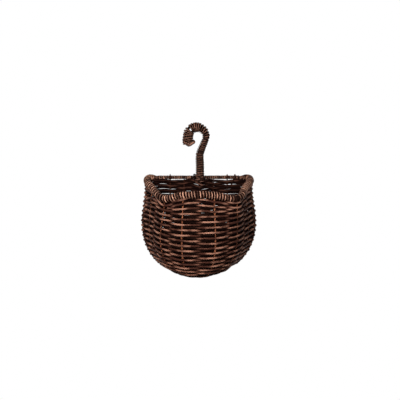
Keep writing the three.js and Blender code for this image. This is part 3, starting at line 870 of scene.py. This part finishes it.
def cane_finish(name, pore_and_shade, stained, thin, worn_and_highlight, wear_and_highlight_amount, gloss):
    """A finish of stained cane that follows the grain of each strand."""
    material = bpy.data.materials.new(name)
    material.use_nodes = True
    tree = material.node_tree
    shader = tree.nodes["Principled BSDF"]
    links = tree.links
    marks = {}
    for mark in ("grain", "tone", "wear_and_light"):
        marks[mark] = add_node(tree, "ShaderNodeAttribute", attribute_name=mark).outputs
    grain = add_node(tree, "ShaderNodeGroup", node_tree=CANE_GRAIN)
    links.new(marks["grain"]["Vector"], grain.inputs["Place"])
    stain = add_node(tree, "ShaderNodeGroup", node_tree=STAINED_CANE)
    for plug in GRAIN_PLUGS:
        links.new(grain.outputs[plug], stain.inputs[plug])
    links.new(marks["tone"]["Fac"], stain.inputs["Tone"])
    links.new(marks["wear_and_light"]["Fac"], stain.inputs["Wear"])
    for plug, colour in (("Pore and Shade", pore_and_shade), ("Stained", stained), ("Thin", thin), ("Worn and Highlight", worn_and_highlight)):
        stain.inputs[plug].default_value = (*colour, 1)
    stain.inputs["Wear Amount"].default_value = wear_and_highlight_amount
    links.new(stain.outputs["Color"], shader.inputs["Base Color"])
    links.new(stain.outputs["Roughness"], shader.inputs["Roughness"])
    bump = add_node(tree, "ShaderNodeBump")
    bump.inputs["Strength"].default_value = RELIEF_STRENGTH
    bump.inputs["Distance"].default_value = RELIEF_DEPTH * MM
    links.new(stain.outputs["Height"], bump.inputs["Height"])
    links.new(bump.outputs["Normal"], shader.inputs["Normal"])
    shader.inputs["Specular IOR Level"].default_value = gloss
    return material


# In each finish the deep colour is also the painted shade and the worn colour is also the painted highlight.
WEAVING_CANE = cane_finish(
    "weaving_cane",
    pore_and_shade=(0.0015, 0.0005, 0.0004),
    stained=(0.028, 0.0098, 0.0064),
    thin=(0.1, 0.04, 0.025),
    worn_and_highlight=(0.21, 0.105, 0.071),
    wear_and_highlight_amount=0.8,
    gloss=0.01,
)
STAKE_CANE = cane_finish(
    "stake_cane",
    pore_and_shade=(0.01, 0.003, 0.0015),
    stained=(0.07, 0.022, 0.01),
    thin=(0.15, 0.049, 0.022),
    worn_and_highlight=(0.24, 0.09, 0.045),
    wear_and_highlight_amount=0.4,
    gloss=0.03,
)
RIM_CANE = cane_finish(
    "rim_cane",
    pore_and_shade=(0.002, 0.0007, 0.0004),
    stained=(0.012, 0.004, 0.0022),
    thin=(0.04, 0.015, 0.009),
    worn_and_highlight=(0.54, 0.28, 0.187),
    wear_and_highlight_amount=1,
    gloss=0.02,
)
HOOK_CANE = cane_finish(
    "hook_cane",
    pore_and_shade=(0.001, 0.0004, 0.0002),
    stained=(0.006, 0.002, 0.0012),
    thin=(0.014, 0.005, 0.003),
    worn_and_highlight=(0.165, 0.079, 0.053),
    wear_and_highlight_amount=1,
    gloss=0.02,
)
# The cores are near black, a painted shade for the gaps between the loops of the bindings where the cores
# show.
CORE_CANE = cane_finish(
    "core_cane",
    pore_and_shade=(0.001, 0.0005, 0.0004),
    stained=(0.005, 0.002, 0.0014),
    thin=(0.01, 0.004, 0.003),
    worn_and_highlight=(0.03, 0.015, 0.01),
    wear_and_highlight_amount=0.2,
    gloss=0.02,
)


def finish_piece(piece, material, slot, *nodes):
    piece.data.materials.clear()
    piece.data.materials.append(material)
    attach(piece, "root")
    if nodes:
        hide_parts(*nodes)


# The wall
def make_woven_strands():
    """The strands of the wall, each four rounds long, end to end in one climbing spiral."""
    last_count = STAKE_COUNT * (ROW_COUNT - 1) + STEP_PLACE + LAST_STRAND_END
    for number in range(STRAND_COUNT):
        first = STAKE_COUNT * ROW_COUNT * number / STRAND_COUNT + STRAND_END_GAP
        last = STAKE_COUNT * ROW_COUNT * (number + 1) / STRAND_COUNT - STRAND_END_GAP
        path = woven_path(f"strand {number}", first, min(last, last_count), 1, spiral_row)
        strand = round_strand(f"woven_strand_{number + 1}", *path)
        finish_piece(strand, WEAVING_CANE, "weaving_strand", f"weaver_{number + 1}")


def make_packing():
    """Pairs of short strands that fill the high parts of the wall, with their ends tucked inside."""
    for name, first, last, row in PACKING:
        start_row = spiral_row(max(first, STEP_PLACE + STEP_LENGTH))
        for word, share, parity in PACKING_PAIR:
            path = woven_path(
                f"{name} {word}",
                first,
                last,
                PACKING_SIZE,
                lambda count: row + share + spiral_row(count) - start_row,
                parity,
                PACKING_TUCK,
            )
            strand = round_strand(f"packing_{name}_{word}", *path)
            finish_piece(strand, WEAVING_CANE, "weaving_strand")


def make_base():
    """The fine strand of the base, which winds out from the middle towards the first row of the wall."""
    first = -BASE_TURNS * STAKE_COUNT
    last = -BASE_END * STAKE_COUNT
    path = woven_path("base", first, last, BASE_STRAND_SIZE, lambda count: count / STAKE_COUNT)
    finish_piece(round_strand("base_weave", *path), WEAVING_CANE, "weaving_strand", "base_panel")


def stake_path(place, top_row):
    """A stake from under the base up through the rows, bent a little by the strands that press on it."""
    points = []
    for row in np.arange(-BASE_TURNS - 1, top_row, STAKE_ROW_STEP):
        spot, out, _ = wall_frame(place, row)
        wave = STAKE_WAVE * math.cos(math.pi * (row * STAKE_COUNT + place)) if row > 0 else 0
        points.append(spot - out * wave)
    return points


def make_stakes():
    """The stakes; the outer ones of the back curl round the rail, and the others end in the binding."""
    curl = RAIL_BOUND_RADIUS + STAKE_DIAMETER / 2 - CURL_PRESS
    for place, stake in enumerate(STAKES[1:], start=1):
        points = stake_path(place, ROW_COUNT - STAKE_LAST_ROW)
        if "back_outer" in stake["name"]:
            x = points[-1][0]
            points += [round_rail(x, curl, degrees) for degrees in CURL_TURNS]
        else:
            points += [(*stake["rim"], stake_top(stake) + rise) for rise in RIM_ENTRY]
        steps = int(lengths_along(np.array(points))[-1] / STAKE_STEP)
        path = smooth_path(points, steps)
        # The stakes' faces that look out of the basket take the painted highlight, and those that look in
        # take the painted shade.
        out = (path - (0, -RIM_DEPTH / 2, 0)) * (1, 1, 0)
        out /= np.linalg.norm(out, axis=1)[:, None]
        piece = round_strand(f"stake_{stake['name']}", path, STAKE_DIAMETER, out, np.ones(steps))
        finish_piece(piece, STAKE_CANE, "upright_strand", f"upright_{stake['name']}")


# The rim
def rim_path():
    """The middle of the hoop, from one end of the rail round the sides and the front to the other end."""
    turn_x = lerp(RAIL_HALF_LENGTH, RIM_HALF_WIDTH, KNOB_SHARE)
    back_end = [
        (RAIL_HALF_LENGTH, 0, RAIL_HEIGHT - HOOP_END_DROP),
        (turn_x, CORNER_STANDOFF, RAIL_HEIGHT - KNOB_DROP),
    ]
    spots = [(-x, y, z) for x, y, z in back_end]
    spots += [(*stake["rim"], RAIL_HEIGHT - stake["drop"]) for stake in STAKES if stake["drop"] > 0]
    spots.insert(len(spots) // 2 + 1, (0, -RIM_DEPTH, RAIL_HEIGHT - FRONT_DROP))
    return smooth_path([*spots, *reversed(back_end)], LONG_PATH_STEPS)


RIM_PATH = rim_path()
RIM_LENGTH = lengths_along(RIM_PATH)[-1]


def hoop_radius(share):
    from_end = np.minimum(share, 1 - share) * RIM_LENGTH
    taper = smoothstep(from_end - HOOP_TAPER_START, 0, HOOP_TAPER_LENGTH)
    return lerp(HOOP_END_DIAMETER, HOOP_DIAMETER, taper) / 2


def crowd_left(share):
    """Moves the loops of the left side towards the back corner."""
    return np.interp(share, *RIM_CROWD)


def crowd_right(share):
    return 1 - crowd_left(1 - share)


def crowd_front(share):
    """Leaves the loops of the front evenly spaced."""
    return share


def shade_left(share):
    """How much darker the left side's loops are towards the back corner."""
    return CORNER_SHADE * (1 - smoothstep(share, 0, CORNER_SHADE_LENGTH))


def shade_right(share):
    return shade_left(1 - share)


RIM_BINDINGS = (
    ("left", RIM_SIDE_LOOPS, RIM_SIDE_STRIP, 1, crowd_left, shade_left),
    ("front", RIM_FRONT_LOOPS, RIM_FRONT_STRIP, 1, crowd_front, None),
    ("right", RIM_SIDE_LOOPS, RIM_SIDE_STRIP, -1, crowd_right, shade_right),
)


def make_rim():
    """The hoop and its binding in three lengths."""
    hoop = round_strand("rim_core", RIM_PATH, 2 * hoop_radius(np.linspace(0, 1, len(RIM_PATH))))
    finish_piece(hoop, CORE_CANE, "core_rod", "rim_hoop")
    for number, (word, loops, strip, hand, crowd, shade) in enumerate(RIM_BINDINGS):
        start = number / len(RIM_BINDINGS)
        end = (number + 1) / len(RIM_BINDINGS)
        binding = wound_strip(
            f"rim_wrap_{word}",
            part_of(RIM_PATH, start, end),
            loops,
            lambda share: hoop_radius(lerp(start, end, crowd(share))) + strip[1],
            strip,
            RIM_TONES,
            RIM_CREST_SHARPNESS,
            crowd=crowd,
            hand=hand,
            shade=shade,
        )
        finish_piece(binding, RIM_CANE, "binding_strip", f"rim_binding_{word}")


# The rail
def rail_path(start_x, end_x, steps):
    height = RAIL_HEIGHT - RAIL_SAG
    return np.linspace((start_x, 0, height), (end_x, 0, height), steps)


def make_rail():
    """The rail and its binding on each side of the hook."""
    path = rail_path(-RAIL_HALF_LENGTH, RAIL_HALF_LENGTH, RAIL_STEPS)
    finish_piece(round_strand("rail_core", path, RAIL_DIAMETER), CORE_CANE, "core_rod", "back_rail")
    outer = RAIL_DIAMETER / 2 + RAIL_STRIP[1]
    for sign, word in ((-1, "left"), (1, "right")):
        binding = wound_strip(
            f"rail_wrap_{word}",
            rail_path(sign * RAIL_HALF_LENGTH, HOOK_X + sign * RAIL_BINDING_GAP, RAIL_BINDING_STEPS),
            RAIL_LOOPS,
            lambda share: outer,
            RAIL_STRIP,
            RAIL_TONES,
        )
        finish_piece(binding, RIM_CANE, "binding_strip", f"back_binding_{word}")


def make_tie():
    """The tie on the right: up in front of the rail, over it and down behind."""
    reach = RAIL_BOUND_RADIUS + TIE_DIAMETER / 2 - TIE_PRESS
    half_turn = TIE_TURNS[-1]
    points = [(x, y, RAIL_HEIGHT + rise) for x, y, rise in TIE_RISE]
    points += [round_rail(lerp(*TIE_OVER_X, degrees / half_turn), reach, degrees) for degrees in TIE_TURNS]
    points += [(x, y, RAIL_HEIGHT + rise) for x, y, rise in TIE_FALL]
    tie = round_strand("rail_tie", smooth_path(points, SHORT_PATH_STEPS), TIE_DIAMETER)
    finish_piece(tie, HOOK_CANE, "binding_strip")


# The hook
def hook_path():
    """The middle of the hook: a straight stem, a lean to the right and a round bend."""
    rises = (-STEM_BINDING_DROP, STEM_HEIGHT / 2, STEM_HEIGHT)
    points = [(HOOK_X, HOOK_Y, RAIL_HEIGHT + rise) for rise in rises]
    for degrees in np.linspace(0, BEND_SWEEP, BEND_STEPS + 1):
        reach = np.interp(degrees, BEND_TURNS, BEND_REACH)
        angle = math.radians(degrees)
        x = BEND_X + reach * math.cos(angle)
        points.append((x, HOOK_Y, RAIL_HEIGHT + BEND_HEIGHT + reach * math.sin(angle)))
    return smooth_path(points, LONG_PATH_STEPS)


HOOK_PATH = hook_path()
HOOK_LENGTH = lengths_along(HOOK_PATH)[-1]
STEM_SHARE = (STEM_BINDING_DROP + STEM_HEIGHT) / HOOK_LENGTH
BEND_SHARE = 1 - math.radians(BEND_SWEEP) * BEND_RADIUS / HOOK_LENGTH


def hook_bound(share):
    """The radius of the bound hook at a share of its length."""
    degrees = BEND_SWEEP * (share - BEND_SHARE) / (1 - BEND_SHARE)
    return np.interp(degrees, (*STEM_TURNS, *BEND_TURNS), (*STEM_BOUND, *BEND_BOUND))


def hook_core(sign):
    """The middle and the thickness of one of the two canes in the hook: together up to the bend, then side
    by side, and apart at the hole."""
    shares = np.linspace(0, 1, len(HOOK_PATH))
    ahead = np.gradient(HOOK_PATH, axis=0)
    ahead /= np.linalg.norm(ahead, axis=1)[:, None]
    across = np.column_stack([-ahead[:, 2], np.zeros(len(ahead)), ahead[:, 0]])
    bound = np.array([hook_bound(share) for share in shares])
    beside = smoothstep(shares, BEND_SHARE, BEND_SHARE + CANE_SPLIT_SHARE)
    hole_share = lerp(BEND_SHARE, 1, HOLE_TURN / BEND_SWEEP)
    parted = np.exp(-(((shares - hole_share) * HOOK_LENGTH / HOLE_REACH) ** 2))
    offset = lerp(CANE_OFFSET * bound * beside, bound / 2, parted)
    strip = lerp(STEM_STRIP[1], BEND_STRIP[1], beside)
    diameter = lerp(2 * (bound - strip - CLEARANCE - offset), CANE_DIAMETER, parted)
    sunk = INNER_SINK * beside * (1 - parted) if sign > 0 else 0
    return HOOK_PATH + across * (sign * offset + sunk)[:, None], diameter


def make_hook_canes():
    """The outer cane, which is one with the spine in the back of the wall, and the inner one in the bend."""
    points, diameter = hook_core(-1)
    below = np.array(stake_path(0, ROW_COUNT - 1))
    below_diameter = [2 * stake_radius(SPINE, height) for height in below[:, 2]]
    outer = round_strand(
        "hook_core_outer",
        np.vstack([below, points[SPINE_JOIN_STEP:]]),
        np.concatenate([below_diameter, diameter[SPINE_JOIN_STEP:]]),
    )
    finish_piece(outer, CORE_CANE, "core_rod", "hook_rod")
    points, diameter = hook_core(1)
    bend_start = int(BEND_SHARE * len(points))
    inner = round_strand("hook_core_inner", points[bend_start:], diameter[bend_start:])
    finish_piece(inner, CORE_CANE, "core_rod")


def crowd_bend(share):
    """Moves the loops along the bend: open up to its top, close beyond it, and parted once at the hole."""
    return np.interp(share, *BEND_CROWD)


def make_hook_binding():
    """The strip round the stem and the thicker one round the bend."""
    stem = wound_strip(
        "hook_wrap_stem",
        part_of(HOOK_PATH, 0, STEM_SHARE),
        STEM_LOOPS,
        lambda share: hook_bound(share * STEM_SHARE),
        STEM_STRIP,
        STEM_TONES,
        loose=STEM_SLACK,
    )
    finish_piece(stem, HOOK_CANE, "binding_strip", "hook_binding_stem")
    bend = wound_strip(
        "hook_wrap_bend",
        part_of(HOOK_PATH, STEM_SHARE, 1),
        BEND_LOOPS,
        lambda share: hook_bound(lerp(STEM_SHARE, 1, crowd_bend(share))),
        BEND_STRIP,
        BEND_TONES,
        loose=BEND_SLACK,
        crowd=crowd_bend,
        flat=lambda share: np.interp(share, *BEND_FLATNESS),
        widen=lambda share: np.interp(share, *BEND_WIDTH),
    )
    finish_piece(bend, HOOK_CANE, "binding_strip", "hook_binding_bend")


def make_tail():
    """The loose end of the strip, turned round the hook's tip."""
    points = [(x, HOOK_Y + behind, height) for x, behind, height in TAIL_ROUTE]
    tail = worn_and_lit_strand("hook_tail_end", smooth_path(points, SHORT_PATH_STEPS), TAIL_DIAMETER)
    finish_piece(tail, HOOK_CANE, "binding_strip", "hook_tail")


def inner_lashing():
    """Points of the turns round the stem and the rail."""
    points = []
    for turn in np.arange(0, LASHING_TURNS, 1 / LASHING_POINTS):
        angle = 2 * math.pi * turn
        behind = max(math.cos(angle), 0)
        x = HOOK_X - STEM_SIDE * math.sin(angle) * (1 + LASHING_WIDENING * behind)
        y = lerp(STEM_FRONT, RAIL_REACH, 0.5 + 0.5 * math.cos(angle))
        climb = LASHING_DIAMETER * (turn - LASHING_TURNS / 2 + 0.5)
        points.append((x, y, RAIL_HEIGHT + LASHING_TILT * math.sin(angle) + climb))
    return points


def outer_lashing():
    """Points of one long slant over the inner lashing."""
    return [(HOOK_X + x, y, RAIL_HEIGHT + rise) for x, y, rise in OUTER_LASHING]


def make_lashings():
    for word, points in (("inner", inner_lashing()), ("outer", outer_lashing())):
        lashing = worn_and_lit_strand(f"stem_lashing_{word}", smooth_path(points, LASHING_STEPS), LASHING_DIAMETER)
        finish_piece(lashing, HOOK_CANE, "binding_strip", f"hook_lashing_{word}")


# Camera, floor and light
def set_camera():
    deselect_all()
    tilt = math.radians(CAMERA_ELEVATION)
    back = Vector((0, -math.cos(tilt), math.sin(tilt)))
    bpy.ops.object.camera_add(location=AIM + back * CAMERA_DISTANCE, rotation=(math.pi / 2 - tilt, 0, 0))
    camera = bpy.context.object
    camera.name = "photo_camera"
    camera.data.sensor_width = SENSOR_WIDTH
    camera.data.lens = CAMERA_LENS
    camera.data.clip_start = CLIP_START
    camera.data.clip_end = CLIP_END
    bpy.context.scene.camera = camera


def soft_light(name, location, size, power):
    deselect_all()
    bpy.ops.object.light_add(type="AREA", location=location)
    light = bpy.context.object
    light.name = name
    light.data.shape = "DISK"
    light.data.size = size
    light.data.energy = power
    light.data.spread = math.radians(LIGHT_SPREAD)
    light.rotation_euler = (AIM - Vector(location)).to_track_quat("-Z", "Y").to_euler()


def seen_directly(tree):
    """How far a ray is one that shows the background: from the camera, a gloss or a clear surface."""
    path = add_node(tree, "ShaderNodeLightPath")
    share = path.outputs["Is Camera Ray"]
    for ray in ("Is Glossy Ray", "Is Transmission Ray"):
        either = add_node(tree, "ShaderNodeMath", operation="MAXIMUM")
        tree.links.new(share, either.inputs[0])
        tree.links.new(path.outputs[ray], either.inputs[1])
        share = either.outputs[0]
    return share


def whiten(tree, share, plain, white, output):
    """Puts out a plain shader, with a white one in its place by a share."""
    mix = add_node(tree, "ShaderNodeMixShader")
    tree.links.new(share, mix.inputs["Fac"])
    tree.links.new(plain.outputs[0], mix.inputs[1])
    tree.links.new(white.outputs[0], mix.inputs[2])
    tree.links.new(mix.outputs[0], tree.nodes[output].inputs["Surface"])


def set_world():
    world = bpy.data.worlds.new("studio")
    bpy.context.scene.world = world
    world.use_nodes = True
    tree = world.node_tree
    light = tree.nodes["Background"]
    light.inputs["Color"].default_value = WHITE
    light.inputs["Strength"].default_value = WORLD_LIGHT
    white = add_node(tree, "ShaderNodeBackground")
    white.inputs["Color"].default_value = WHITE
    white.inputs["Strength"].default_value = 1
    whiten(tree, seen_directly(tree), light, white, "World Output")


def set_floor():
    deselect_all()
    bpy.ops.mesh.primitive_plane_add(size=FLOOR_SIZE, location=(0, 0, FLOOR_HEIGHT))
    floor = bpy.context.object
    floor.name = "floor"
    material = bpy.data.materials.new("pale_floor")
    material.use_nodes = True
    tree = material.node_tree
    shader = tree.nodes["Principled BSDF"]
    shader.inputs["Base Color"].default_value = FLOOR_GREY
    shader.inputs["Roughness"].default_value = FLOOR_ROUGHNESS
    white = add_node(tree, "ShaderNodeEmission")
    white.inputs["Strength"].default_value = 1
    place = add_node(tree, "ShaderNodeTexCoord")
    distance = add_node(tree, "ShaderNodeVectorMath", operation="LENGTH")
    tree.links.new(place.outputs["Object"], distance.inputs[0])
    fade = add_node(tree, "ShaderNodeMapRange")
    for plug, value in zip(("From Min", "From Max", "To Min", "To Max"), FLOOR_FADE):
        fade.inputs[plug].default_value = value
    tree.links.new(distance.outputs["Value"], fade.inputs["Value"])
    shown = add_node(tree, "ShaderNodeMath", operation="MULTIPLY")
    tree.links.new(seen_directly(tree), shown.inputs[0])
    tree.links.new(fade.outputs["Result"], shown.inputs[1])
    whiten(tree, shown.outputs[0], shader, white, "Material Output")
    floor.data.materials.append(material)


make_woven_strands()
make_packing()
make_base()
make_stakes()
make_rim()
make_rail()
make_tie()
make_hook_canes()
make_hook_binding()
make_tail()
make_lashings()

set_camera()
set_world()
set_floor()
for each_light in LIGHTS:
    soft_light(*each_light)
bpy.context.scene.view_settings.view_transform = "Standard"
